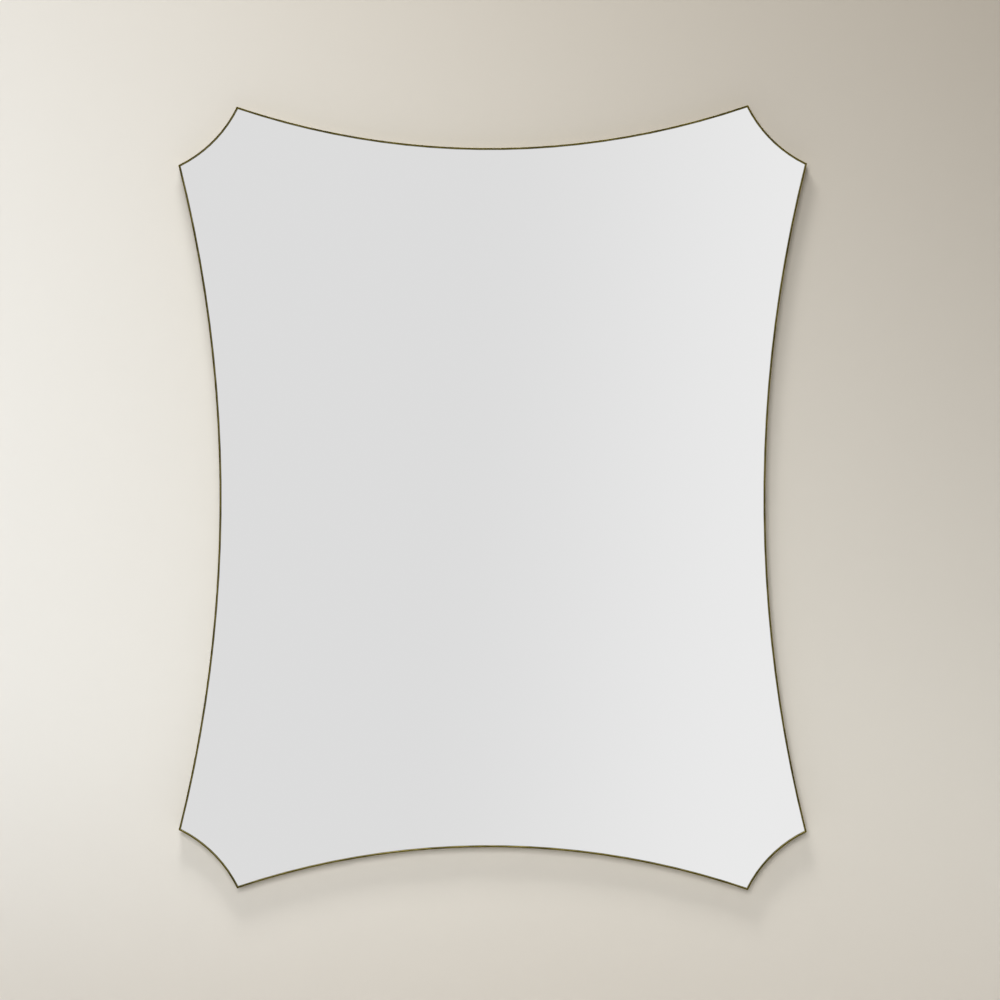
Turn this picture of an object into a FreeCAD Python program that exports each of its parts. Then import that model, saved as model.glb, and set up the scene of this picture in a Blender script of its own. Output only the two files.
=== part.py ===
import FreeCAD, Part
import math
import os

import Sketcher

# A wall mirror. Its outline is eight concave arcs that meet in eight points: four long sides that
# bow inwards, and a short scallop across each corner. Thin metal strips stand on edge round the
# glass, and a fibreboard behind it is screwed to tabs inside the strips. Two ring hangers carry it.
#
# Millimetres. X is to the right of someone who looks at the mirror, Z is up, and Y points away
# from them, to the wall. The origin is the middle of the outline, halfway from the wall to the
# front edge. A place along Y is given as how far forward of the origin it is, which is minus Y.

DRIVING_DIMENSIONS = [
    # the outline, over the outside of the strips, from point to point
    ("overall_width", 813),
    ("overall_height", 1013),
    # how far the two points of a corner are apart, along each side
    ("corner_cut_width", 76),
    ("corner_cut_height", 75.5),
    # how far the middle of an edge lies inside the straight line between its points
    ("top_bow", 54.5),
    ("side_bow", 53.5),
    ("corner_bow", 9.1),
    # the metal strip
    ("strip_thickness", 2),
    ("strip_depth", 22),
    ("strip_chamfer", 0.5),
    ("wall_gap", 3),
    # what the strips hold, from front to back
    ("glass_recess", 3),
    ("glass_thickness", 4),
    ("glass_clearance", 0.5),
    ("film_thickness", 0.3),
    ("film_margin", 1),
    ("tape_thickness", 1),
    ("tape_width", 25),
    ("tape_end_margin", 52),
    ("tape_pitch", 150),
    ("board_thickness", 9),
    ("board_clearance", 0.6),
    # the tabs that hold the board
    ("tab_thickness", 1.5),
    ("tab_width", 20),
    ("tab_hole_inset", 14),
    ("tab_hole_radius", 2),
    ("tab_spread_top", 340),
    ("tab_spread_side", 560),
    # the screws, alike for tabs and hangers
    ("screw_length", 9),
    ("screw_radius", 1.5),
    ("screw_tip", 2.2),
    ("head_radius", 3.4),
    ("head_height", 2),
    ("head_rounding", 1.1),
    ("recess_span", 3.4),
    ("recess_width", 0.8),
    ("recess_depth", 1.2),
    ("pilot_clearance", 0.05),
    ("pilot_depth", 8.2),
    # the ring hangers
    ("hanger_spacing", 600),
    ("hanger_height", 255),
    ("strap_width", 16),
    ("strap_length", 44),
    ("strap_thickness", 1.2),
    ("strap_hole_radius", 2.1),
    ("first_hole_drop", 11),
    ("second_hole_drop", 34),
    ("wire_radius", 1.5),
    ("barrel_clearance", 0.1),
    ("ring_width", 23),
    ("ring_corner", 3),
    ("ring_side", 6),
    ("ring_gap", 0.3),
    # the bumpers
    ("bumper_base_radius", 6.4),
    ("bumper_face_radius", 5.6),
    ("bumper_rounding", 1.2),
    ("bumper_inset_width", 82),
    ("bumper_inset_height", 82),
]

# Places and radii that follow from the driving dimensions. Each may use those before it.
DERIVED_DIMENSIONS = [
    ("top_point_x", "sheet.overall_width / 2 - sheet.corner_cut_width"),
    ("side_point_z", "sheet.overall_height / 2 - sheet.corner_cut_height"),
    # an arc's radius from half its chord and its bow
    ("top_radius", "(derived.top_point_x ^ 2 + sheet.top_bow ^ 2) / (2 * sheet.top_bow)"),
    ("side_radius", "(derived.side_point_z ^ 2 + sheet.side_bow ^ 2) / (2 * sheet.side_bow)"),
    ("corner_chord", "sqrt(sheet.corner_cut_width ^ 2 + sheet.corner_cut_height ^ 2)"),
    ("corner_radius", "(derived.corner_chord ^ 2 / 4 + sheet.corner_bow ^ 2) / (2 * sheet.corner_bow)"),
    # the arcs' centres, outside the outline
    ("top_centre_z", "sheet.overall_height / 2 - sheet.top_bow + derived.top_radius"),
    ("side_centre_x", "sheet.overall_width / 2 - sheet.side_bow + derived.side_radius"),
    ("corner_stand_off", "(derived.corner_radius - sheet.corner_bow) / derived.corner_chord"),
    (
        "corner_centre_x",
        "(sheet.overall_width - sheet.corner_cut_width) / 2"
        " + derived.corner_stand_off * sheet.corner_cut_height",
    ),
    (
        "corner_centre_z",
        "(sheet.overall_height - sheet.corner_cut_height) / 2"
        " + derived.corner_stand_off * sheet.corner_cut_width",
    ),
    ("tape_length", "sheet.overall_height - 2 * (sheet.top_bow + sheet.tape_end_margin)"),
    # how far forward of the origin each layer lies
    ("frame_front", "(sheet.wall_gap + sheet.strip_depth) / 2"),
    ("frame_back", "derived.frame_front - sheet.strip_depth"),
    ("wall_face", "derived.frame_back - sheet.wall_gap"),
    ("glass_back", "derived.frame_front - sheet.glass_recess - sheet.glass_thickness"),
    ("film_back", "derived.glass_back - sheet.film_thickness"),
    ("tape_back", "derived.film_back - sheet.tape_thickness"),
    ("board_back", "derived.tape_back - sheet.board_thickness"),
    ("tab_back", "derived.board_back - sheet.tab_thickness"),
    ("strap_back", "derived.board_back - sheet.strap_thickness"),
    # the hanger's rolled barrel, and the ring that leans from it towards the board
    ("barrel_inside", "sheet.wire_radius + sheet.barrel_clearance"),
    ("barrel_outside", "derived.barrel_inside + sheet.strap_thickness"),
    ("barrel_axis", "derived.board_back - derived.barrel_outside"),
    ("ring_height", "sheet.ring_side + sheet.ring_width / 2"),
    (
        "ring_lean",
        "asin((derived.barrel_outside - sheet.wire_radius - sheet.ring_gap) / derived.ring_height)",
    ),
]

# The outline's edges, clockwise from the top, with the direction from the middle to each.
EDGES = [
    ("frame_top", 0, 1),
    ("frame_corner_top_right", 1, 1),
    ("frame_right", 1, 0),
    ("frame_corner_bottom_right", 1, -1),
    ("frame_bottom", 0, -1),
    ("frame_corner_bottom_left", -1, -1),
    ("frame_left", -1, 0),
    ("frame_corner_top_left", -1, 1),
]

# The tabs: name, the clockwise turn of their side from the top, and which way they are moved
# along it from its middle, where 1 is anticlockwise.
TABS = [
    ("tab_top_left", 0, 1),
    ("tab_top_right", 0, -1),
    ("tab_right_upper", 90, 1),
    ("tab_right_middle", 90, 0),
    ("tab_right_lower", 90, -1),
    ("tab_bottom_right", 180, 1),
    ("tab_bottom_left", 180, -1),
    ("tab_left_lower", 270, 1),
    ("tab_left_middle", 270, 0),
    ("tab_left_upper", 270, -1),
]

SIDES = [("left", -1), ("right", 1)]
LEVELS = [("top", 1), ("bottom", -1)]
TAPE_COLUMNS = range(-2, 3)

doc = FreeCAD.newDocument("wall_mirror")


def fill_sheet():
    """The driving dimensions, one to a row, each with its name as alias."""
    sheet = doc.addObject("Spreadsheet::Sheet", "sheet")
    for row, (name, size) in enumerate(DRIVING_DIMENSIONS, start=1):
        sheet.set(f"A{row}", name)
        sheet.set(f"B{row}", str(size))
        sheet.setAlias(f"B{row}", name)
    doc.recompute()
    return sheet


def fill_derived():
    """The dimensions that follow from the driving ones, bound to the sheet."""
    derived = doc.addObject("App::VarSet", "derived")
    for name, expression in DERIVED_DIMENSIONS:
        derived.addProperty("App::PropertyFloat", name, "derived")
        derived.setExpression(name, expression)
        doc.recompute()


sheet = fill_sheet()
fill_derived()


def number(expression):
    """What an expression comes to with the present sizes."""
    found = sheet.evalExpression(expression)
    return float(getattr(found, "Value", found))


def new_body(name):
    return doc.addObject("PartDesign::Body", name)


def new_sketch(body, role, forward=None):
    """A sketch on one of the body's own planes, or parallel to it at a distance."""
    sketch = body.newObject("Sketcher::SketchObject", body.Label + "_sketch")
    plane = next(found for found in body.Origin.OriginFeatures if found.Role == role)
    sketch.AttachmentSupport = [(plane, "")]
    sketch.MapMode = "FlatFace"
    if forward:
        sketch.setExpression("AttachmentOffset.Base.z", forward)
    return sketch


def size_constraint(sketch, kind, where, expression):
    """A constraint whose size is bound to an expression."""
    index = sketch.addConstraint(Sketcher.Constraint(kind, *where, number(expression)))
    sketch.setExpression(f"Constraints[{index}]", expression)


def fix_point(sketch, geometry, vertex, place):
    """Holds a point at a place, a pair of expressions. A plain 0 is on the axis itself."""
    for kind, axis, expression in (("DistanceX", -2, place[0]), ("DistanceY", -1, place[1])):
        if expression == "0":
            sketch.addConstraint(Sketcher.Constraint("PointOnObject", geometry, vertex, axis))
        else:
            size_constraint(sketch, kind, (-1, 1, geometry, vertex), expression)


def add_circle(sketch, place, radius, construction=False):
    """A circle with its centre and radius held."""
    centre = FreeCAD.Vector(number(place[0]), number(place[1]), 0)
    shape = Part.Circle(centre, FreeCAD.Vector(0, 0, 1), number(radius))
    index = sketch.addGeometry(shape, construction)
    fix_point(sketch, index, 3, place)
    size_constraint(sketch, "Radius", (index,), radius)
    return index


def add_arc(sketch, centre, radius, start, end):
    """The anticlockwise arc round a centre from start to end, which are only its first places."""
    angles = [math.atan2(y - centre[1], x - centre[0]) for x, y in (start, end)]
    if angles[1] < angles[0]:
        angles[1] += 2 * math.pi
    circle = Part.Circle(FreeCAD.Vector(*centre, 0), FreeCAD.Vector(0, 0, 1), radius)
    return sketch.addGeometry(Part.ArcOfCircle(circle, *angles), False)


def arc_centre(start, end, radius, turn):
    """The centre of the arc of under half a circle from start to end. turn is 1 if it goes round
    anticlockwise and -1 if clockwise."""
    half_x = (end[0] - start[0]) / 2
    half_y = (end[1] - start[1]) / 2
    half_chord = math.hypot(half_x, half_y)
    aside = turn * math.sqrt(radius**2 - half_chord**2) / half_chord
    return start[0] + half_x - aside * half_y, start[1] + half_y + aside * half_x


def add_profile(sketch, corners):
    """A closed loop. Each corner is (x, y) for a line to it, or (x, y, radius, turn) for an arc."""
    places = [(number(corner[0]), number(corner[1])) for corner in corners]
    heads = []
    tails = []
    for index, corner in enumerate(corners):
        start = places[index - 1]
        end = places[index]
        if len(corner) == 2:
            line = Part.LineSegment(FreeCAD.Vector(*start, 0), FreeCAD.Vector(*end, 0))
            geometry = sketch.addGeometry(line, False)
            tails.append((geometry, 1))
            heads.append((geometry, 2))
            continue
        radius, turn = corner[2:]
        centre = arc_centre(start, end, number(radius), turn)
        first, last = (start, end) if turn > 0 else (end, start)
        geometry = add_arc(sketch, centre, number(radius), first, last)
        size_constraint(sketch, "Radius", (geometry,), radius)
        tails.append((geometry, 1 if turn > 0 else 2))
        heads.append((geometry, 2 if turn > 0 else 1))
    for index, corner in enumerate(corners):
        following = tails[(index + 1) % len(corners)]
        sketch.addConstraint(Sketcher.Constraint("Coincident", *heads[index], *following))
        fix_point(sketch, *heads[index], corner[:2])


def new_pad(body, sketch, length):
    pad = body.newObject("PartDesign::Pad", body.Label + "_pad")
    pad.Profile = sketch
    pad.setExpression("Length", length)
    return pad


def new_pocket(body, sketch, length):
    """A pocket that goes forward, the way a pad from the same sketch would."""
    pocket = body.newObject("PartDesign::Pocket", body.Label + "_pocket")
    pocket.Profile = sketch
    pocket.Reversed = True
    pocket.setExpression("Length", length)
    return pocket


def new_revolution(body, sketch):
    """A solid turned about the sketch's upright axis."""
    revolution = body.newObject("PartDesign::Revolution", body.Label + "_revolution")
    revolution.Profile = sketch
    revolution.ReferenceAxis = (sketch, ["V_Axis"])
    return revolution


def edge_circle(edge, inset):
    """The circle that an edge of the outline lies on, moved inwards by inset: its centre and its
    radius, as expressions."""
    name, x_way, z_way = edge
    if x_way and z_way:
        kind = "corner"
    else:
        kind = "side" if x_way else "top"
    centre_x = f"{x_way} * derived.{kind}_centre_x" if x_way else "0"
    centre_z = f"{z_way} * derived.{kind}_centre_z" if z_way else "0"
    return (centre_x, centre_z), f"derived.{kind}_radius + {inset}"


def meeting_point(first, second):
    """Where two edges' circles cross, at the crossing nearer to the origin."""
    (x_1, y_1), radius_1 = [tuple(map(number, first[0])), number(first[1])]
    (x_2, y_2), radius_2 = [tuple(map(number, second[0])), number(second[1])]
    gap = math.hypot(x_2 - x_1, y_2 - y_1)
    way_x, way_y = (x_2 - x_1) / gap, (y_2 - y_1) / gap
    along = (gap**2 + radius_1**2 - radius_2**2) / (2 * gap)
    aside = math.sqrt(radius_1**2 - along**2)
    crossings = [
        (x_1 + along * way_x - side * aside * way_y, y_1 + along * way_y + side * aside * way_x)
        for side in (1, -1)
    ]
    return min(crossings, key=lambda point: math.hypot(*point))


def add_edge_arc(sketch, circle, start, end):
    """An edge's arc, with its centre and radius held and its ends left free."""
    centre = tuple(map(number, circle[0]))
    arc = add_arc(sketch, centre, number(circle[1]), start, end)
    fix_point(sketch, arc, 3, circle[0])
    size_constraint(sketch, "Radius", (arc,), circle[1])
    return arc


def add_outline(sketch, inset):
    """The eight arcs in a closed loop, moved inwards from the outside of the strips by inset."""
    circles = [edge_circle(edge, inset) for edge in EDGES]
    points = [meeting_point(circles[index - 1], circles[index]) for index in range(len(EDGES))]
    arcs = [
        add_edge_arc(sketch, circle, points[index], points[(index + 1) % len(points)])
        for index, circle in enumerate(circles)
    ]
    for index, arc in enumerate(arcs):
        sketch.addConstraint(Sketcher.Constraint("Coincident", arcs[index - 1], 2, arc, 1))


def outlined_plate(name, inset, back, thickness):
    """A plate with the mirror's outline. back is how far forward its back face lies."""
    body = new_body(name)
    sketch = new_sketch(body, "XZ_Plane", back)
    add_outline(sketch, inset)
    new_pad(body, sketch, thickness)
    return body


def chamfer_long_edges(body, pad):
    """Takes the sharpness off the four long edges of a strip, which are the ones that are arcs."""
    doc.recompute()
    arcs = [
        f"Edge{index}"
        for index, edge in enumerate(pad.Shape.Edges, start=1)
        if isinstance(edge.Curve, Part.Circle)
    ]
    chamfer = body.newObject("PartDesign::Chamfer", body.Label + "_chamfer")
    chamfer.Base = (pad, arcs)
    chamfer.setExpression("Size", "sheet.strip_chamfer")


def frame_strip(position):
    """One metal strip on edge. Both ends are mitred, from the point outside to the point inside."""
    edges = [EDGES[(position + step) % len(EDGES)] for step in (-1, 0, 1)]
    before, own, after = [edge_circle(edge, "0") for edge in edges]
    inside_before, inside_own, inside_after = [
        edge_circle(edge, "sheet.strip_thickness") for edge in edges
    ]
    outer_points = [meeting_point(before, own), meeting_point(own, after)]
    inner_points = [
        meeting_point(inside_before, inside_own),
        meeting_point(inside_own, inside_after),
    ]
    body = new_body(edges[1][0])
    sketch = new_sketch(body, "XZ_Plane", "derived.frame_back")
    outer = add_edge_arc(sketch, own, *outer_points)
    inner = add_edge_arc(sketch, inside_own, *inner_points)
    for vertex, outside, inside in ((1, before, inside_before), (2, after, inside_after)):
        outer_guide = add_circle(sketch, *outside, construction=True)
        inner_guide = add_circle(sketch, *inside, construction=True)
        ends = [FreeCAD.Vector(*points[vertex - 1], 0) for points in (outer_points, inner_points)]
        mitre = sketch.addGeometry(Part.LineSegment(*ends), False)
        sketch.addConstraint(Sketcher.Constraint("Coincident", outer, vertex, mitre, 1))
        sketch.addConstraint(Sketcher.Constraint("Coincident", inner, vertex, mitre, 2))
        sketch.addConstraint(Sketcher.Constraint("PointOnObject", outer, vertex, outer_guide))
        sketch.addConstraint(Sketcher.Constraint("PointOnObject", inner, vertex, inner_guide))
    pad = new_pad(body, sketch, "sheet.strip_depth")
    chamfer_long_edges(body, pad)
    return body


def tab_turn(side_turn, way):
    """A tab's clockwise turn, from that of its side and the way it is moved along it."""
    kind = "side" if side_turn % 180 else "top"
    reach = f"asin(sheet.tab_spread_{kind} / 2 / (derived.{kind}_radius + sheet.strip_thickness))"
    return f"{side_turn} deg + {way} * {reach}"


def tab_place(side_turn, way, inset):
    """The point that lies inset inwards of where a tab meets its strip, as two expressions."""
    kind = "side" if side_turn % 180 else "top"
    centre = "derived.side_centre_x" if side_turn % 180 else "derived.top_centre_z"
    turn = tab_turn(side_turn, way)
    reach = f"(derived.{kind}_radius + sheet.strip_thickness + {inset})"
    return tuple(
        f"{centre} * {wave}({side_turn} deg) - {reach} * {wave}({turn})" for wave in ("sin", "cos")
    )


def frame_tab(name, side_turn, way):
    """A flat tab, welded by its straight end to the inside of a strip, behind the board."""
    body = new_body(name)
    sketch = new_sketch(body, "XZ_Plane")
    half_width = "sheet.tab_width / 2"
    corners = [
        (f"-{half_width}", "0"),
        (f"-{half_width}", "-sheet.tab_hole_inset"),
        ("0", f"-sheet.tab_hole_inset - {half_width}", half_width, 1),
        (half_width, "-sheet.tab_hole_inset", half_width, 1),
        (half_width, "0"),
    ]
    add_profile(sketch, corners)
    add_circle(sketch, ("0", "-sheet.tab_hole_inset"), "sheet.tab_hole_radius")
    new_pad(body, sketch, "sheet.tab_thickness")
    place_x, place_z = tab_place(side_turn, way, "0")
    upright = FreeCAD.Vector(0, 1, 0)
    body.Placement = FreeCAD.Placement(FreeCAD.Vector(), FreeCAD.Rotation(upright, 1))
    body.setExpression("Placement.Base.x", place_x)
    body.setExpression("Placement.Base.y", "-derived.tab_back")
    body.setExpression("Placement.Base.z", place_z)
    body.setExpression("Placement.Rotation.Angle", tab_turn(side_turn, way))
    return body


def hanger_x(side):
    return f"{side} * sheet.hanger_spacing / 2"


def strap_screw_places():
    """The middle of each hole in the two straps, seen from the front."""
    return [
        (hanger_x(side), f"sheet.hanger_height - sheet.{hole}_hole_drop")
        for name, side in SIDES
        for hole in ("first", "second")
    ]


def tab_screw_places():
    """The middle of the hole in each tab."""
    return [tab_place(side_turn, way, "sheet.tab_hole_inset") for name, side_turn, way in TABS]


def backer_board():
    """The fibreboard, with a blind pilot hole in its back for each screw."""
    body = outlined_plate(
        "backer_board",
        "sheet.strip_thickness + sheet.board_clearance",
        "derived.board_back",
        "sheet.board_thickness",
    )
    sketch = new_sketch(body, "XZ_Plane", "derived.board_back")
    for place in tab_screw_places() + strap_screw_places():
        add_circle(sketch, place, "sheet.screw_radius + sheet.pilot_clearance")
    new_pocket(body, sketch, "sheet.pilot_depth")
    return body


def tape_strip(name, column):
    """One upright strip of foam tape between the film and the board."""
    strip = doc.addObject("Part::Box", name)
    strip.setExpression("Length", "sheet.tape_width")
    strip.setExpression("Width", "sheet.tape_thickness")
    strip.setExpression("Height", "derived.tape_length")
    strip.setExpression("Placement.Base.x", f"{column} * sheet.tape_pitch - sheet.tape_width / 2")
    strip.setExpression("Placement.Base.y", "-derived.film_back")
    strip.setExpression("Placement.Base.z", "-derived.tape_length / 2")
    return strip


def screw():
    """A pan-head screw along Y, with the underside of its head at the origin and its tip forward.
    Its cross recess is two slots."""
    body = new_body("screw")
    profile = new_sketch(body, "XY_Plane")
    corners = [
        ("0", "sheet.head_height"),
        ("sheet.head_radius - sheet.head_rounding", "sheet.head_height"),
        ("sheet.head_radius", "sheet.head_height - sheet.head_rounding", "sheet.head_rounding", -1),
        ("sheet.head_radius", "0"),
        ("sheet.screw_radius", "0"),
        ("sheet.screw_radius", "sheet.screw_tip - sheet.screw_length"),
        ("0", "-sheet.screw_length"),
    ]
    add_profile(profile, corners)
    new_revolution(body, profile)
    recess = new_sketch(body, "XZ_Plane", "-sheet.head_height")
    wide = "sheet.recess_span / 2"
    narrow = "sheet.recess_width / 2"
    cross = [
        (narrow, narrow),
        (narrow, wide),
        (f"-{narrow}", wide),
        (f"-{narrow}", narrow),
        (f"-{wide}", narrow),
        (f"-{wide}", f"-{narrow}"),
        (f"-{narrow}", f"-{narrow}"),
        (f"-{narrow}", f"-{wide}"),
        (narrow, f"-{wide}"),
        (narrow, f"-{narrow}"),
        (wide, f"-{narrow}"),
        (wide, narrow),
    ]
    add_profile(recess, cross)
    new_pocket(body, recess, "sheet.recess_depth")
    return body


def screw_group(name, pattern, places, seat):
    """Copies of the screw, one at each place. seat is how far forward their heads sit."""
    copies = []
    for number_in_group, (place_x, place_z) in enumerate(places, start=1):
        copy = doc.addObject("App::Link", f"{name}_{number_in_group}")
        copy.LinkedObject = pattern
        copy.setExpression("Placement.Base.x", place_x)
        copy.setExpression("Placement.Base.y", f"-{seat}")
        copy.setExpression("Placement.Base.z", place_z)
        copies.append(copy)
    group = doc.addObject("Part::Compound", name)
    group.Links = copies
    return group


def hanger_strap(name, side):
    """A strap with two screw holes, a round lower end, and a barrel rolled up at its top. The
    barrel's axis is the strap's origin."""
    body = new_body(name)
    plate = new_sketch(body, "XZ_Plane", "derived.barrel_inside")
    half_width = "sheet.strap_width / 2"
    round_top = f"{half_width} - sheet.strap_length"
    corners = [
        (f"-{half_width}", "0"),
        (f"-{half_width}", round_top),
        ("0", "-sheet.strap_length", half_width, 1),
        (half_width, round_top, half_width, 1),
        (half_width, "0"),
    ]
    add_profile(plate, corners)
    for hole in ("first", "second"):
        add_circle(plate, ("0", f"-sheet.{hole}_hole_drop"), "sheet.strap_hole_radius")
    new_pad(body, plate, "sheet.strap_thickness")
    roll = new_sketch(body, "YZ_Plane")
    outside = "derived.barrel_outside"
    inside = "derived.barrel_inside"
    corners = [
        (f"-{outside}", "0"),
        ("0", outside, outside, -1),
        (outside, "0", outside, -1),
        ("0", f"-{outside}", outside, -1),
        ("0", f"-{inside}"),
        (inside, "0", inside, 1),
        ("0", inside, inside, 1),
        (f"-{inside}", "0", inside, 1),
    ]
    add_profile(roll, corners)
    barrel = new_pad(body, roll, "sheet.strap_width")
    barrel.SideType = "Symmetric"
    place_hanger_piece(body, side)
    return body


def hanger_ring(name, side):
    """A ring of round wire: a straight bar in the barrel, two short sides and a round top. The
    barrel's axis is the ring's origin, and the ring leans towards the board."""
    body = new_body(name)
    spine = new_sketch(body, "XZ_Plane")
    half_width = "sheet.ring_width / 2"
    corner = "sheet.ring_corner"
    corners = [
        (f"{half_width} - {corner}", "0"),
        (half_width, corner, corner, 1),
        (half_width, "sheet.ring_side"),
        ("0", f"sheet.ring_side + {half_width}", half_width, 1),
        (f"-{half_width}", "sheet.ring_side", half_width, 1),
        (f"-{half_width}", corner),
        (f"{corner} - {half_width}", "0", corner, 1),
        ("0", "0"),
    ]
    add_profile(spine, corners)
    section = new_sketch(body, "YZ_Plane")
    add_circle(section, ("0", "0"), "sheet.wire_radius")
    doc.recompute()
    pipe = body.newObject("PartDesign::AdditivePipe", name + "_pipe")
    pipe.Profile = section
    pipe.Spine = (spine, [f"Edge{index}" for index in range(1, len(corners) + 1)])
    lean_axis = FreeCAD.Vector(1, 0, 0)
    body.Placement = FreeCAD.Placement(FreeCAD.Vector(), FreeCAD.Rotation(lean_axis, 1))
    body.setExpression("Placement.Rotation.Angle", "derived.ring_lean * 1 deg")
    place_hanger_piece(body, side)
    return body


def place_hanger_piece(body, side):
    """Puts a strap or a ring, whose origin is the barrel's axis, in its place on the board."""
    body.setExpression("Placement.Base.x", hanger_x(side))
    body.setExpression("Placement.Base.y", "-derived.barrel_axis")
    body.setExpression("Placement.Base.z", "sheet.hanger_height")


def wall_bumper(name, side, level):
    """A rubber bumper that stands on the back of the board and touches the wall. Its base is at
    its own origin."""
    body = new_body(name)
    profile = new_sketch(body, "XY_Plane")
    height = "(derived.board_back - derived.wall_face)"
    rounding = "sheet.bumper_rounding"
    corners = [
        ("0", "0"),
        ("sheet.bumper_base_radius", "0"),
        ("sheet.bumper_face_radius", f"{height} - {rounding}"),
        (f"sheet.bumper_face_radius - {rounding}", height, rounding, 1),
        ("0", height),
    ]
    add_profile(profile, corners)
    new_revolution(body, profile)
    inset = "sheet.bumper_inset"
    body.setExpression("Placement.Base.x", f"{side} * (sheet.overall_width / 2 - {inset}_width)")
    body.setExpression("Placement.Base.y", "-derived.board_back")
    body.setExpression("Placement.Base.z", f"{level} * (sheet.overall_height / 2 - {inset}_height)")
    return body


def make_pieces():
    """Every piece, in the order that they are put together."""
    pieces = [frame_strip(position) for position in range(len(EDGES))]
    pieces += [frame_tab(*tab) for tab in TABS]
    glass_inset = "sheet.strip_thickness + sheet.glass_clearance"
    film_inset = f"{glass_inset} + sheet.film_margin"
    pieces.append(
        outlined_plate("mirror_glass", glass_inset, "derived.glass_back", "sheet.glass_thickness")
    )
    pieces.append(
        outlined_plate("safety_film", film_inset, "derived.film_back", "sheet.film_thickness")
    )
    for index, column in enumerate(TAPE_COLUMNS, start=1):
        pieces.append(tape_strip(f"mounting_tape_{index}", column))
    pieces.append(backer_board())
    pattern = screw()
    pieces.append(screw_group("tab_screws", pattern, tab_screw_places(), "derived.tab_back"))
    for name, side in SIDES:
        pieces.append(hanger_strap(f"hanger_strap_{name}", side))
        pieces.append(hanger_ring(f"hanger_ring_{name}", side))
    pieces.append(screw_group("hanger_screws", pattern, strap_screw_places(), "derived.strap_back"))
    for level_name, level in LEVELS:
        for side_name, side in SIDES:
            pieces.append(wall_bumper(f"wall_bumper_{level_name}_{side_name}", side, level))
    return pieces


def check_document():
    """Stops if anything failed to build, or if a pocket took nothing away."""
    for item in doc.Objects:
        if "Invalid" in item.State or "Error" in item.State:
            raise RuntimeError(f"{item.Name} failed: {item.State}")
        if item.isDerivedFrom("Sketcher::SketchObject") and not item.FullyConstrained:
            raise RuntimeError(f"{item.Name} is not fully constrained")
        if item.isDerivedFrom("PartDesign::Pocket"):
            if item.Shape.Volume > item.BaseFeature.Shape.Volume - 1:
                raise RuntimeError(f"{item.Name} cuts nothing")


def write_pieces(pieces):
    """Writes each piece to its own file, once every one of them is sound."""
    for piece in pieces:
        if piece.Shape.isNull() or not piece.Shape.isValid():
            raise RuntimeError(f"{piece.Label} has no valid shape")
    os.makedirs("parts", exist_ok=True)
    for piece in pieces:
        piece.Shape.exportStep(f"parts/{piece.Label}.step")
        box = piece.Shape.BoundBox
        volume = round(piece.Shape.Volume, 1)
        low = (round(box.XMin, 2), round(box.YMin, 2), round(box.ZMin, 2))
        high = (round(box.XMax, 2), round(box.YMax, 2), round(box.ZMax, 2))
        print(piece.Label, len(piece.Shape.Solids), "solids", volume, low, high)


def main():
    pieces = make_pieces()
    doc.recompute()
    check_document()
    write_pieces(pieces)


main()
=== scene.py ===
import math

import bpy
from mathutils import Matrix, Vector


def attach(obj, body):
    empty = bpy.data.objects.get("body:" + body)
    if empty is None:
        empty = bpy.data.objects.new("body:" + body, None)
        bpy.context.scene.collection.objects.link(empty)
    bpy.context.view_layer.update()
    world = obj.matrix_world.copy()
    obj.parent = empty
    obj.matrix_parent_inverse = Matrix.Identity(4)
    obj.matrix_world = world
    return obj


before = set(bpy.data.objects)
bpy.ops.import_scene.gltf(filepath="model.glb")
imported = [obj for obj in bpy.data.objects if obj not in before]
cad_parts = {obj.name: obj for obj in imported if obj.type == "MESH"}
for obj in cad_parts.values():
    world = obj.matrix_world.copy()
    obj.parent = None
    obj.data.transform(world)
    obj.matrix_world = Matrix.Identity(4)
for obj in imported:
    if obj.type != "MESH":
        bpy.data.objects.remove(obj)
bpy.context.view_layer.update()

# A wall mirror in a thin strip frame of aged olive brass, hung on a pale warm wall. Metres, X to the
# right of someone who looks at the mirror, Z up, and Y away from them, to the wall.

# the outline, as in the CAD source
WIDTH = 0.813
HEIGHT = 1.013
CORNER_CUT_WIDTH = 0.076
CORNER_CUT_HEIGHT = 0.0755
TOP_BOW = 0.0545
SIDE_BOW = 0.0535
STRIP_THICKNESS = 0.002

# places along Y
TAB_BACK = 0.0063
WALL_FACE = 0.0125

# the tabs: distance apart along the top and bottom, and along the sides
TAB_SPREAD_TOP = 0.340
TAB_SPREAD_SIDE = 0.560

# the stage
FLOOR_LEVEL = -0.95
WALL_HALF_WIDTH = 3.0
WALL_TOP = 2.2
FLOOR_FRONT = -2.8
FLOOR_BACK = 3.2

# the camera, whose lens and sensor are in millimetres
CAMERA_PLACE = (0.1437, -4.5, 0.0198)
CAMERA_AIM = (0.0102, 0.0, -0.0029)
CAMERA_LENS = 125.05
CAMERA_SENSOR = 36.0
CAMERA_NEAR = 0.05
CAMERA_FAR = 60.0


# ---------------------------------------------------------------- nodes


def new_material(name):
    """An empty node material, its tree, and its Principled shader."""
    material = bpy.data.materials.new(name)
    material.use_nodes = True
    return material, material.node_tree, material.node_tree.nodes["Principled BSDF"]


def add_node(tree, kind, sockets=None, **settings):
    """A new node. A socket's value is a number, a colour, or another node's output."""
    node = tree.nodes.new(kind)
    for name, value in settings.items():
        setattr(node, name, value)
    for name, value in (sockets or {}).items():
        if isinstance(value, bpy.types.NodeSocket):
            tree.links.new(value, node.inputs[name])
        else:
            node.inputs[name].default_value = value
    return node


def math_node(tree, operation, first, second=0.0):
    return add_node(tree, "ShaderNodeMath", {0: first, 1: second}, operation=operation).outputs[0]


def plus(tree, first, second):
    return math_node(tree, "ADD", first, second)


def times(tree, first, second):
    return math_node(tree, "MULTIPLY", first, second)


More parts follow.
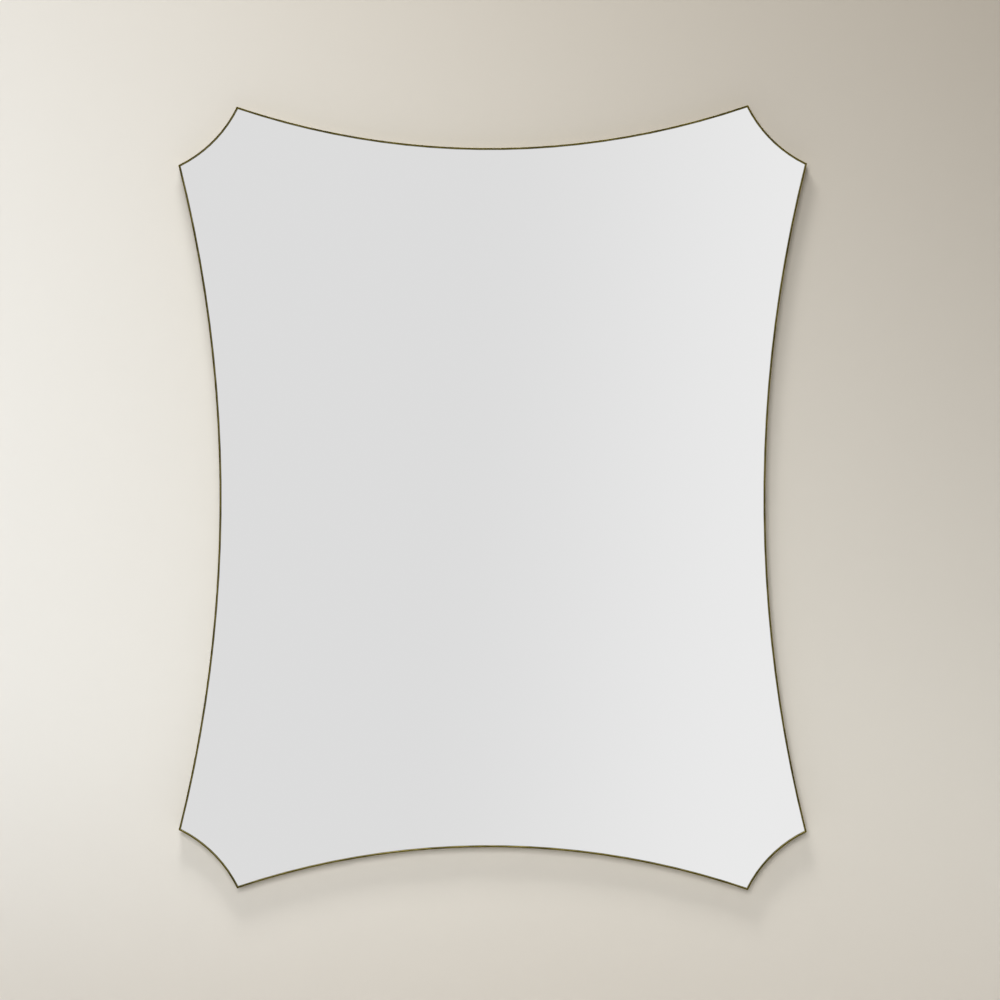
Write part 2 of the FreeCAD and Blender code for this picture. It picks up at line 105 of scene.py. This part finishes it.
def part_of(tree, vector, axis):
    """A vector's X, Y or Z."""
    return add_node(tree, "ShaderNodeSeparateXYZ", {0: vector}).outputs[axis]


def blend(tree, factor, first, second):
    """Two colours mixed by a factor."""
    sockets = {0: factor, 6: first, 7: second}
    return add_node(tree, "ShaderNodeMix", sockets, data_type="RGBA").outputs[2]


def mix_shaders(tree, factor, first, second):
    """Two shader nodes mixed by a factor."""
    sockets = {0: factor, 1: first.outputs[0], 2: second.outputs[0]}
    return add_node(tree, "ShaderNodeMixShader", sockets)


def spread(tree, value, low, high, to_low=0.0, to_high=1.0):
    """A value stretched from low...high to to_low...to_high, smooth and clamped."""
    sockets = {
        "Value": value,
        "From Min": low,
        "From Max": high,
        "To Min": to_low,
        "To Max": to_high,
    }
    node = add_node(tree, "ShaderNodeMapRange", sockets, interpolation_type="SMOOTHSTEP")
    return node.outputs[0]


def place_of(tree, scale=(1, 1, 1), turn=(0, 0, 0)):
    """Object coordinates in metres, turned and then stretched."""
    source = add_node(tree, "ShaderNodeTexCoord").outputs["Object"]
    turned = add_node(
        tree, "ShaderNodeVectorRotate", {"Vector": source, "Rotation": turn}, rotation_type="EULER_XYZ"
    )
    mapping = add_node(tree, "ShaderNodeMapping", {"Vector": turned.outputs[0], "Scale": scale})
    return mapping.outputs[0]


def noise(tree, place, scale, detail=3.0, roughness=0.5, distortion=0.0):
    sockets = {
        "Vector": place,
        "Scale": scale,
        "Detail": detail,
        "Roughness": roughness,
        "Distortion": distortion,
    }
    return add_node(tree, "ShaderNodeTexNoise", sockets).outputs["Fac"]


def cells(tree, place, scale):
    return add_node(tree, "ShaderNodeTexVoronoi", {"Vector": place, "Scale": scale}).outputs["Distance"]


def facing(tree):
    """How far a face turns to the front or the back, 0 to 1, and the same with its sign: 1 is the
    back and -1 the front."""
    normal = add_node(tree, "ShaderNodeNewGeometry").outputs["True Normal"]
    along_y = part_of(tree, normal, "Y")
    return math_node(tree, "ABSOLUTE", along_y), along_y


def reflected_ray(tree, rays):
    """1 where something is seen in a reflection or through glass."""
    return math_node(tree, "MAXIMUM", rays["Is Glossy Ray"], rays["Is Transmission Ray"])


def relief(tree, shader, height, distance, strength):
    """A bump of a height pattern, whose depth is in metres."""
    sockets = {"Strength": strength, "Distance": distance, "Height": height}
    bump = add_node(tree, "ShaderNodeBump", sockets)
    tree.links.new(bump.outputs[0], shader.inputs["Normal"])


def feed(tree, shader, **sockets):
    """Links or sets sockets of a shader. An underscore stands for a space."""
    for name, value in sockets.items():
        socket = shader.inputs[name.replace("_", " ")]
        if isinstance(value, bpy.types.NodeSocket):
            tree.links.new(value, socket)
        else:
            socket.default_value = value


# ---------------------------------------------------------------- materials

# the frame's brass: the two olive tones are painted dark reflection on the narrow edges, the two side
# tones a lighter painted reflection on the broad sides, and the worn tone is worn metal with a painted
# highlight on the chamfers
OLIVE_DARK = (0.018, 0.015, 0.002, 1)
OLIVE = (0.030, 0.025, 0.004, 1)
OLIVE_WORN_AND_HIGHLIGHT = (0.34, 0.28, 0.07, 1)
PATINA = (0.020, 0.018, 0.006, 1)
SIDE_REFLECTION_DARK = (0.175, 0.146, 0.072, 1)
SIDE_REFLECTION_LIGHT = (0.255, 0.215, 0.110, 1)

WELD_STRAW = (0.085, 0.07, 0.035, 1)
WELD_PURPLE = (0.12, 0.075, 0.045, 1)
WELD_BRIGHT = (0.16, 0.14, 0.09, 1)
TAB_DARK = (0.075, 0.062, 0.028, 1)
TAB_LIGHT = (0.15, 0.125, 0.06, 1)

SILVER = (0.933, 0.933, 0.933, 1)
GLASS_EDGE_DARK = (0.22, 0.36, 0.30, 1)
GLASS_EDGE_LIGHT = (0.42, 0.55, 0.48, 1)
BACK_PAINT_DARK = (0.20, 0.21, 0.22, 1)
BACK_PAINT_LIGHT = (0.26, 0.27, 0.28, 1)

FILM = (0.52, 0.54, 0.57, 1)
FILM_THREAD = (0.70, 0.71, 0.72, 1)
FOAM_PIT_SHADE = (0.62, 0.62, 0.60, 1)
FOAM_SKIN = (0.80, 0.80, 0.77, 1)

BOARD_DARK = (0.276, 0.181, 0.102, 1)
BOARD_LIGHT = (0.296, 0.197, 0.112, 1)
BOARD_MOTTLE = (0.335, 0.230, 0.137, 1)
FIBRE_DARK = (0.130, 0.078, 0.041, 1)
FIBRE_LIGHT = (0.430, 0.315, 0.200, 1)
BOARD_DUST = (0.100, 0.060, 0.032, 1)
CORE_DARK = (0.150, 0.090, 0.048, 1)
CORE_LIGHT = (0.250, 0.165, 0.095, 1)

ZINC_STRAW = (0.66, 0.64, 0.57, 1)
ZINC_SPECK = (0.26, 0.26, 0.25, 1)
RUBBER = (0.018, 0.018, 0.018, 1)
RUBBER_BLOOM = (0.055, 0.054, 0.052, 1)


def brass(name, turn):
    """Aged olive brass plating, brushed along the strip, with painted reflection: dark on the narrow
    edges, lighter on the broad sides. turn is the strip's angle about Y."""
    material, tree, shader = new_material(name)
    flat = place_of(tree)
    along = place_of(tree, (6, 260, 260), (0, turn, 0))
    brushing = noise(tree, along, 5.0, detail=4.0, roughness=0.6)
    blotches = noise(tree, flat, 34.0, detail=4.0, roughness=0.6)
    specks = noise(tree, flat, 900.0, detail=2.0)
    # the narrow edges: dark olive in random blotches and brushing streaks, its darkness a painted dark
    # reflection
    tone = blend(tree, spread(tree, blotches, 0.35, 0.65), OLIVE_DARK, OLIVE)
    streaks = spread(tree, brushing, 0.35, 0.7, 0.0, 0.55)
    tone = blend(tree, streaks, tone, OLIVE)
    across, along_y = facing(tree)
    # the broad sides: a lighter painted reflection, in random patches
    worked = plus(tree, times(tree, blotches, 0.45), times(tree, brushing, 0.55))
    side_reflection = blend(tree, spread(tree, worked, 0.36, 0.64), SIDE_REFLECTION_DARK, SIDE_REFLECTION_LIGHT)
    tone = blend(tree, spread(tree, across, 0.5, 0.2), tone, side_reflection)
    spots = spread(tree, specks, 0.62, 0.74, 0.0, 0.7)
    tone = blend(tree, spots, tone, PATINA)
    # the chamfers get brighter metal in patches, partly wear and partly a painted highlight, those at
    # the front the most
    squared = times(tree, across, across)
    off_chamfer = math_node(tree, "ABSOLUTE", math_node(tree, "SUBTRACT", squared, 0.5))
    chamfer = spread(tree, off_chamfer, 0.2, 0.05)
    worn_and_highlight = times(tree, chamfer, spread(tree, blotches, 0.3, 0.6, 0.45, 1.0))
    worn_and_highlight = times(tree, worn_and_highlight, spread(tree, along_y, -0.3, 0.3, 1.0, 0.3))
    tone = blend(tree, worn_and_highlight, tone, OLIVE_WORN_AND_HIGHLIGHT)
    rough = spread(tree, brushing, 0.3, 0.7, 0.30, 0.46)
    rough = plus(tree, rough, times(tree, spots, 0.2))
    feed(tree, shader, Base_Color=tone, Metallic=1.0, Roughness=rough)
    relief(tree, shader, brushing, 0.00003, 0.5)
    return material


def weld_metal():
    """Weld beads under the same plating, rougher and heat-tinted."""
    material, tree, shader = new_material("weld_metal")
    place = place_of(tree)
    grain = noise(tree, place, 1500.0, detail=3.0, roughness=0.6)
    heat = noise(tree, place, 220.0, detail=2.0)
    tint = blend(tree, spread(tree, heat, 0.4, 0.62), WELD_STRAW, WELD_PURPLE)
    tone = blend(tree, spread(tree, grain, 0.45, 0.7), tint, WELD_BRIGHT)
    rough = spread(tree, grain, 0.3, 0.7, 0.35, 0.6)
    feed(tree, shader, Base_Color=tone, Metallic=1.0, Roughness=rough)
    relief(tree, shader, grain, 0.00005, 0.6)
    return material


def tab_plating():
    """The plated tabs: cut steel under the same olive plating, with rolling marks."""
    material, tree, shader = new_material("tab_plating")
    rolled = noise(tree, place_of(tree, (1, 1, 14)), 420.0, detail=3.0, roughness=0.6)
    blotches = noise(tree, place_of(tree), 130.0, detail=3.0)
    tone = blend(tree, spread(tree, blotches, 0.35, 0.65), TAB_DARK, TAB_LIGHT)
    across, _ = facing(tree)
    tone = blend(tree, spread(tree, across, 0.9, 0.2, 0.0, 0.45), tone, OLIVE_WORN_AND_HIGHLIGHT)
    rough = spread(tree, rolled, 0.3, 0.7, 0.30, 0.50)
    feed(tree, shader, Base_Color=tone, Metallic=1.0, Roughness=rough)
    relief(tree, shader, rolled, 0.00004, 0.5)
    return material


def silvered_glass():
    """The mirror: silvered face, ground green edge, and grey backing paint behind."""
    material, tree, shader = new_material("silvered_glass")
    across, along_y = facing(tree)
    place = place_of(tree)
    ground = noise(tree, place, 1200.0, detail=3.0)
    edge = spread(tree, across, 0.9, 0.5)
    behind = spread(tree, along_y, 0.5, 0.9)
    dulled = math_node(tree, "MAXIMUM", edge, behind)
    edge_tone = blend(tree, ground, GLASS_EDGE_DARK, GLASS_EDGE_LIGHT)
    paint_tone = blend(tree, noise(tree, place, 60.0), BACK_PAINT_DARK, BACK_PAINT_LIGHT)
    tone = blend(tree, edge, SILVER, edge_tone)
    tone = blend(tree, behind, tone, paint_tone)
    haze = spread(tree, noise(tree, place, 3.0, detail=4.0, roughness=0.6), 0.4, 0.75, 0.0, 0.012)
    rough = plus(tree, haze, times(tree, dulled, 0.4))
    metallic = math_node(tree, "SUBTRACT", 1.0, dulled)
    feed(tree, shader, Base_Color=tone, Metallic=metallic, Roughness=rough)
    return material


def woven_film():
    """Safety film with a fine woven scrim in it."""
    material, tree, shader = new_material("woven_film")
    place = place_of(tree)
    waves = [math_node(tree, "SINE", times(tree, part_of(tree, place, axis), 3000.0)) for axis in "XZ"]
    scrim = math_node(tree, "MAXIMUM", *waves)
    tone = blend(tree, spread(tree, scrim, 0.6, 1.0), FILM, FILM_THREAD)
    feed(tree, shader, Base_Color=tone, Roughness=spread(tree, scrim, 0.0, 1.0, 0.35, 0.55))
    relief(tree, shader, scrim, 0.00005, 0.5)
    return material


def foam():
    """White closed-cell foam tape, with painted shade in its cell pits."""
    material, tree, shader = new_material("foam")
    bubbles = cells(tree, place_of(tree), 2600.0)
    # the cell pits are darker: painted shade in them
    tone = blend(tree, spread(tree, bubbles, 0.1, 0.6), FOAM_PIT_SHADE, FOAM_SKIN)
    feed(tree, shader, Base_Color=tone, Roughness=0.85)
    relief(tree, shader, bubbles, 0.0001, 0.6)
    return material


def fibreboard():
    """Bare fibreboard: a sanded face flecked with short fibres, and sawn edges that show the
    softer core."""
    material, tree, shader = new_material("fibreboard")
    place = place_of(tree)
    cloud = noise(tree, place, 7.0, detail=5.0, roughness=0.6)
    mottle = noise(tree, place, 90.0, detail=4.0, roughness=0.65)
    lying = place_of(tree, (1, 1, 4.5), (0, 0.5, 0))
    standing = place_of(tree, (4.5, 1, 1), (0, 0.35, 0))
    flecks = noise(tree, lying, 300.0, detail=4.0, roughness=0.7, distortion=0.6)
    crossed = noise(tree, standing, 330.0, detail=4.0, roughness=0.7, distortion=0.6)
    dust = noise(tree, place, 2400.0, detail=2.0)
    tone = blend(tree, spread(tree, cloud, 0.3, 0.7), BOARD_DARK, BOARD_LIGHT)
    tone = blend(tree, spread(tree, mottle, 0.3, 0.75, 0.0, 0.35), tone, BOARD_MOTTLE)
    tone = blend(tree, spread(tree, flecks, 0.56, 0.76, 0.0, 0.6), tone, FIBRE_DARK)
    tone = blend(tree, spread(tree, crossed, 0.58, 0.74, 0.0, 0.6), tone, FIBRE_LIGHT)
    tone = blend(tree, spread(tree, dust, 0.62, 0.75, 0.0, 0.35), tone, BOARD_DUST)
    across, _ = facing(tree)
    sawn = spread(tree, across, 0.9, 0.5)
    marks = math_node(tree, "SINE", times(tree, part_of(tree, place, "Y"), 9000.0))
    core = blend(tree, spread(tree, marks, -0.2, 1.0, 0.0, 0.4), CORE_DARK, CORE_LIGHT)
    tone = blend(tree, sawn, tone, core)
    grain = plus(tree, times(tree, flecks, 0.6), times(tree, dust, 0.4))
    feed(tree, shader, Base_Color=tone, Roughness=spread(tree, mottle, 0.3, 0.7, 0.62, 0.8))
    feed(tree, shader, Specular_IOR_Level=0.3)
    relief(tree, shader, grain, 0.00012, 0.55)
    return material


def zinc(name, blue, direction):
    """Bright zinc plate: cool with faint straw blotches, and fine marks along a direction. blue is
    added to its blue."""
    material, tree, shader = new_material(name)
    place = place_of(tree)
    marks = noise(tree, place_of(tree, direction), 500.0, detail=4.0, roughness=0.6)
    blotches = noise(tree, place, 160.0, detail=3.0)
    specks = noise(tree, place, 1900.0, detail=2.0)
    cool = (0.60, 0.61, 0.60 + blue, 1)
    tone = blend(tree, spread(tree, blotches, 0.4, 0.65), cool, ZINC_STRAW)
    tone = blend(tree, spread(tree, specks, 0.66, 0.78, 0.0, 0.6), tone, ZINC_SPECK)
    rough = spread(tree, marks, 0.3, 0.7, 0.20, 0.40)
    feed(tree, shader, Base_Color=tone, Metallic=1.0, Roughness=rough)
    relief(tree, shader, marks, 0.00004, 0.4)
    return material


def moulded_rubber():
    """Black moulded rubber with a fine spark-eroded skin and a bloom of pale dust."""
    material, tree, shader = new_material("moulded_rubber")
    place = place_of(tree)
    skin = noise(tree, place, 2600.0, detail=3.0, roughness=0.6)
    bloom = noise(tree, place, 240.0, detail=4.0, roughness=0.6)
    tone = blend(tree, spread(tree, bloom, 0.45, 0.75, 0.0, 0.6), RUBBER, RUBBER_BLOOM)
    feed(tree, shader, Base_Color=tone, Roughness=spread(tree, skin, 0.3, 0.7, 0.55, 0.78))
    relief(tree, shader, skin, 0.00008, 0.6)
    return material


def give(names, material):
    """Puts a material on CAD nodes."""
    for name in names:
        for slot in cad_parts[name].material_slots:
            slot.material = material


def paint_nodes():
    """A finished material on every CAD node."""
    level = brass("brass_level", 0.0)
    upright = brass("brass_upright", math.pi / 2)
    rising = brass("brass_rising", math.pi / 4)
    falling = brass("brass_falling", -math.pi / 4)
    give(["frame_top", "frame_bottom"], level)
    give(["frame_left", "frame_right"], upright)
    give(["frame_corner_top_left", "frame_corner_bottom_right"], rising)
    give(["frame_corner_top_right", "frame_corner_bottom_left"], falling)
    give([name for name, side_turn, way in TAB_PLACES], tab_plating())
    give(["mirror_glass"], silvered_glass())
    give(["safety_film"], woven_film())
    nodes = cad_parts
    give([name for name in nodes if name.startswith("mounting_tape")], foam())
    give(["backer_board"], fibreboard())
    give(["tab_screws", "hanger_screws"], zinc("zinc_screw", 0.03, (1, 6, 1)))
    give(["hanger_strap_left", "hanger_strap_right"], zinc("zinc_strap", 0.02, (1, 1, 8)))
    give(["hanger_ring_left", "hanger_ring_right"], zinc("zinc_wire", 0.02, (1, 8, 8)))
    give([name for name in nodes if name.startswith("wall_bumper")], moulded_rubber())


# ---------------------------------------------------------------- weld beads


def arc_radius(half_chord, bow):
    return (half_chord**2 + bow**2) / (2 * bow)


TOP_RADIUS = arc_radius(WIDTH / 2 - CORNER_CUT_WIDTH, TOP_BOW)
SIDE_RADIUS = arc_radius(HEIGHT / 2 - CORNER_CUT_HEIGHT, SIDE_BOW)
TOP_CENTRE = HEIGHT / 2 - TOP_BOW + TOP_RADIUS
SIDE_CENTRE = WIDTH / 2 - SIDE_BOW + SIDE_RADIUS

BEAD_LEG = 0.0017
BEAD_ROOT = 0.0003
BEAD_HALF_LENGTH = 0.008
BEAD_PITCH = 0.0011
BEAD_STATIONS = 72
BEAD_POINTS = 9

# shares of the bead's size: how far it bulges, how deep its ripples are, and what is left at its ends
BEAD_BULGE = 0.18
BEAD_RIPPLE = 0.16
BEAD_END = 0.35

# each tab's name, its side as degrees clockwise from the top, seen from the front, and its place
# there: 1 is anticlockwise of the side's middle and -1 is clockwise of it
TAB_PLACES = [
    ("tab_top_left", 0, 1),
    ("tab_top_right", 0, -1),
    ("tab_right_upper", 90, 1),
    ("tab_right_middle", 90, 0),
    ("tab_right_lower", 90, -1),
    ("tab_bottom_right", 180, 1),
    ("tab_bottom_left", 180, -1),
    ("tab_left_lower", 270, 1),
    ("tab_left_middle", 270, 0),
    ("tab_left_upper", 270, -1),
]


def bead_section(swell):
    """The corner between strip and tab filled with a rounded bead: (inwards, backwards) pairs. The
    first point lies inside the metal, and the rest go from the strip's face to the tab's."""
    points = [(-BEAD_ROOT, -BEAD_ROOT)]
    for step in range(BEAD_POINTS):
        angle = math.pi / 2 * step / (BEAD_POINTS - 1)
        bulge = 1 - BEAD_BULGE + BEAD_BULGE * math.sin(2 * angle)
        reach = BEAD_LEG * swell * bulge
        points.append((reach * math.sin(angle), reach * math.cos(angle)))
    return points


def bead_swell(along):
    """How large the bead is at a place along it: rippled, and tapered at both ends."""
    taper = max(0.0, 1 - abs(along / BEAD_HALF_LENGTH) ** 6) ** 0.5
    ripple = abs(math.sin(math.pi * along / BEAD_PITCH))
    return (BEAD_END + (1 - BEAD_END) * taper) * (1 - BEAD_RIPPLE + BEAD_RIPPLE * ripple)


def bead_mesh(side_turn, way):
    """Vertices and faces of the bead at one tab, along the inside of its strip."""
    upright = side_turn % 180 == 90
    radius = (SIDE_RADIUS if upright else TOP_RADIUS) + STRIP_THICKNESS
    centre = SIDE_CENTRE if upright else TOP_CENTRE
    half_spread = (TAB_SPREAD_SIDE if upright else TAB_SPREAD_TOP) / 2
    turn = math.radians(side_turn)
    middle = turn + way * math.asin(half_spread / radius)
    out = Vector((math.sin(turn), 0, math.cos(turn)))
    vertices = []
    faces = []
    for station in range(BEAD_STATIONS + 1):
        along = BEAD_HALF_LENGTH * (2 * station / BEAD_STATIONS - 1)
        angle = middle + along / radius
        inwards = -Vector((math.sin(angle), 0, math.cos(angle)))
        foot = out * centre + inwards * radius
        for inward, backward in bead_section(bead_swell(along)):
            place = foot + inwards * inward
            vertices.append((place.x, TAB_BACK + backward, place.z))
    count = BEAD_POINTS + 1
    for station in range(BEAD_STATIONS):
        for point in range(count):
            here = station * count + point
            beside = station * count + (point + 1) % count
            faces.append((here, beside, beside + count, here + count))
    faces.append(tuple(range(count))[::-1])
    last = BEAD_STATIONS * count
    faces.append(tuple(last + point for point in range(count)))
    return vertices, faces


def tab_welds(material):
    """One rippled bead behind each tab, each its own piece."""
    for name, side_turn, way in TAB_PLACES:
        vertices, faces = bead_mesh(side_turn, way)
        mesh = bpy.data.meshes.new(f"weld_{name}")
        mesh.from_pydata(vertices, [], faces)
        mesh.validate()
        mesh.update()
        mesh.polygons.foreach_set("use_smooth", [True] * len(mesh.polygons))
        bead = bpy.data.objects.new(f"weld_{name}", mesh)
        bpy.context.scene.collection.objects.link(bead)
        bead.data.materials.append(material)
        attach(bead, "root")


# ---------------------------------------------------------------- stage, lamps and camera

# the wall's paint with painted light and shade, lighter at the left and darker to the upper right and
# towards the foot: where it goes from one tone to the next, and how much its slant leans to X
WALL_LEFT_PAINTED_LIGHT = (0.860, 0.858, 0.844, 1)
WALL_MIDDLE = (0.736, 0.711, 0.659, 1)
WALL_UPPER_RIGHT_PAINTED_SHADE = (0.333, 0.297, 0.250, 1)
WALL_FOOT_PAINTED_SHADE = (0.576, 0.533, 0.477, 1)
WALL_IN_REFLECTIONS = (0.60, 0.575, 0.52, 1)
LEFT_TO_MIDDLE = (-1.16, 0.24)
TO_UPPER_RIGHT = (-0.555, 1.55)
DOWN_TO_FOOT = (0.23, 1.0)
WALL_SLANT = 0.56

# the floor's paint, how much of its shade is lifted, and how far off its reflection fades
FLOOR_DARK = (0.70, 0.685, 0.65, 1)
FLOOR_LIGHT = (0.74, 0.725, 0.69, 1)
FLOOR_LIFT = 0.5
FLOOR_FADE = (1.2, 2.85)

# the lamps' colours
DAYLIGHT = (1.0, 0.99, 0.97)
WARM = (1.0, 0.99, 0.96)
WHITE = (1.0, 1.0, 1.0)

# the world: ambient light, what the camera sees, and the room in reflections, which brightens
# where X less a share of Z passes through a range
AMBIENT = (0.08, 0.079, 0.077, 1)
BACKGROUND = (0.80, 0.79, 0.76, 1)
ROOM_GREY = (0.77, 0.77, 0.77, 1)
ROOM_BRIGHT = (0.88, 0.88, 0.88, 1)
ROOM_SWEEP = (-0.05, 0.06)
ROOM_SLANT = 0.12


def plane(name, corners, material):
    """A flat stage piece through four corners."""
    mesh = bpy.data.meshes.new(name)
    mesh.from_pydata(corners, [], [(0, 1, 2, 3)])
    mesh.update()
    made = bpy.data.objects.new(name, mesh)
    bpy.context.scene.collection.objects.link(made)
    made.data.materials.append(material)


def wall_paint_and_painted_light():
    """The wall's pale paint with painted light and shade: lighter at the left, darker to the top right
    and towards the foot. The wall shows only from the front, and keeps no lamp's light from what
    hangs on it, so that the mirror's back is lit like its front."""
    material, tree, shader = new_material("wall_paint_and_painted_light")
    place = place_of(tree)
    x = part_of(tree, place, "X")
    z = part_of(tree, place, "Z")
    # painted light at the left, painted shade to the top right and towards the foot
    tone = blend(tree, spread(tree, x, *LEFT_TO_MIDDLE), WALL_LEFT_PAINTED_LIGHT, WALL_MIDDLE)
    slant = plus(tree, z, times(tree, x, WALL_SLANT))
    tone = blend(tree, spread(tree, slant, *TO_UPPER_RIGHT), tone, WALL_UPPER_RIGHT_PAINTED_SHADE)
    below = times(tree, z, -1.0)
    tone = blend(tree, spread(tree, below, *DOWN_TO_FOOT), tone, WALL_FOOT_PAINTED_SHADE)
    feed(tree, shader, Base_Color=tone, Roughness=0.9, Specular_IOR_Level=0.1)
    plain = add_node(tree, "ShaderNodeEmission", {"Color": WALL_IN_REFLECTIONS, "Strength": 1.0})
    clear = add_node(tree, "ShaderNodeBsdfTransparent")
    rays = add_node(tree, "ShaderNodeLightPath").outputs
    behind = add_node(tree, "ShaderNodeNewGeometry").outputs["Backfacing"]
    seen = mix_shaders(tree, reflected_ray(tree, rays), shader, plain)
    lit_through = math_node(tree, "MAXIMUM", rays["Is Shadow Ray"], rays["Is Diffuse Ray"])
    hidden = math_node(tree, "MAXIMUM", behind, lit_through)
    one_sided = mix_shaders(tree, hidden, seen, clear)
    tree.links.new(one_sided.outputs[0], tree.nodes["Material Output"].inputs["Surface"])
    return material


def floor_paint():
    """The pale floor. To the camera it looks half as shaded as the lamps leave it, and in
    reflections it is plain and fades away at a distance."""
    material, tree, shader = new_material("floor_paint")
    place = place_of(tree)
    tone = blend(tree, noise(tree, place, 1.5, detail=3.0), FLOOR_DARK, FLOOR_LIGHT)
    feed(tree, shader, Base_Color=tone, Roughness=0.8)
    plain = add_node(tree, "ShaderNodeEmission", {"Color": tone, "Strength": 1.0})
    clear = add_node(tree, "ShaderNodeBsdfTransparent")
    rays = add_node(tree, "ShaderNodeLightPath").outputs
    mirrored = reflected_ray(tree, rays)
    lift = math_node(tree, "MAXIMUM", mirrored, times(tree, rays["Is Camera Ray"], FLOOR_LIFT))
    seen = mix_shaders(tree, lift, shader, plain)
    away = add_node(tree, "ShaderNodeVectorMath", {0: place}, operation="LENGTH").outputs["Value"]
    gone = times(tree, mirrored, spread(tree, away, *FLOOR_FADE))
    fading = mix_shaders(tree, gone, seen, clear)
    tree.links.new(fading.outputs[0], tree.nodes["Material Output"].inputs["Surface"])
    return material


def build_stage():
    """A wall behind the bumpers, and a floor well below."""
    wall = [
        (-WALL_HALF_WIDTH, WALL_FACE, FLOOR_LEVEL),
        (WALL_HALF_WIDTH, WALL_FACE, FLOOR_LEVEL),
        (WALL_HALF_WIDTH, WALL_FACE, WALL_TOP),
        (-WALL_HALF_WIDTH, WALL_FACE, WALL_TOP),
    ]
    floor = [
        (-WALL_HALF_WIDTH, FLOOR_FRONT, FLOOR_LEVEL),
        (WALL_HALF_WIDTH, FLOOR_FRONT, FLOOR_LEVEL),
        (WALL_HALF_WIDTH, FLOOR_BACK, FLOOR_LEVEL),
        (-WALL_HALF_WIDTH, FLOOR_BACK, FLOOR_LEVEL),
    ]
    plane("wall", wall, wall_paint_and_painted_light())
    plane("floor", floor, floor_paint())


def look_at(thing, place, aim):
    """Puts a lamp or the camera at a place, turned to a point."""
    thing.location = place
    thing.rotation_mode = "QUATERNION"
    thing.rotation_quaternion = (Vector(aim) - Vector(place)).to_track_quat("-Z", "Y")


def softbox(name, place, size, watts, colour, in_reflections=True):
    """A square area lamp that looks at the middle of the mirror."""
    data = bpy.data.lights.new(name, "AREA")
    data.shape = "SQUARE"
    data.size = size
    data.energy = watts
    data.color = colour
    lamp = bpy.data.objects.new(name, data)
    look_at(lamp, place, (0.0, 0.0, 0.0))
    lamp.visible_camera = False
    lamp.visible_glossy = in_reflections
    bpy.context.scene.collection.objects.link(lamp)


def light_stage():
    """A distant window in front, a small key high up and a little left, and two lamps for the
    back."""
    softbox("window", (-0.35, -6.2, 1.2), 2.3, 245.0, DAYLIGHT, in_reflections=False)
    softbox("key", (-0.3, -1.2, 2.1), 0.8, 30.0, WARM)
    softbox("back", (-1.3, 2.3, 1.5), 1.4, 70.0, DAYLIGHT)
    softbox("back_fill", (1.9, 2.2, 0.3), 1.8, 30.0, WHITE)


def room_light():
    """The world: soft ambient light, a pale background, and in reflections a neutral grey that
    brightens to one side."""
    world = bpy.data.worlds.new("studio")
    world.use_nodes = True
    bpy.context.scene.world = world
    tree = world.node_tree
    direction = add_node(tree, "ShaderNodeTexCoord").outputs["Generated"]
    x = part_of(tree, direction, "X")
    z = part_of(tree, direction, "Z")
    slope = math_node(tree, "SUBTRACT", x, times(tree, z, ROOM_SLANT))
    mirrored = blend(tree, spread(tree, slope, *ROOM_SWEEP), ROOM_GREY, ROOM_BRIGHT)
    rays = add_node(tree, "ShaderNodeLightPath").outputs
    tone = blend(tree, rays["Is Camera Ray"], AMBIENT, BACKGROUND)
    tone = blend(tree, reflected_ray(tree, rays), tone, mirrored)
    tree.links.new(tone, tree.nodes["Background"].inputs["Color"])
    tree.nodes["Background"].inputs["Strength"].default_value = 1.0


def place_camera():
    data = bpy.data.cameras.new("camera")
    data.sensor_width = CAMERA_SENSOR
    data.lens = CAMERA_LENS
    data.clip_start = CAMERA_NEAR
    data.clip_end = CAMERA_FAR
    camera = bpy.data.objects.new("camera", data)
    look_at(camera, CAMERA_PLACE, CAMERA_AIM)
    bpy.context.scene.collection.objects.link(camera)
    bpy.context.scene.camera = camera


paint_nodes()
tab_welds(weld_metal())
build_stage()
light_stage()
room_light()
place_camera()
bpy.context.scene.view_settings.view_transform = "Standard"
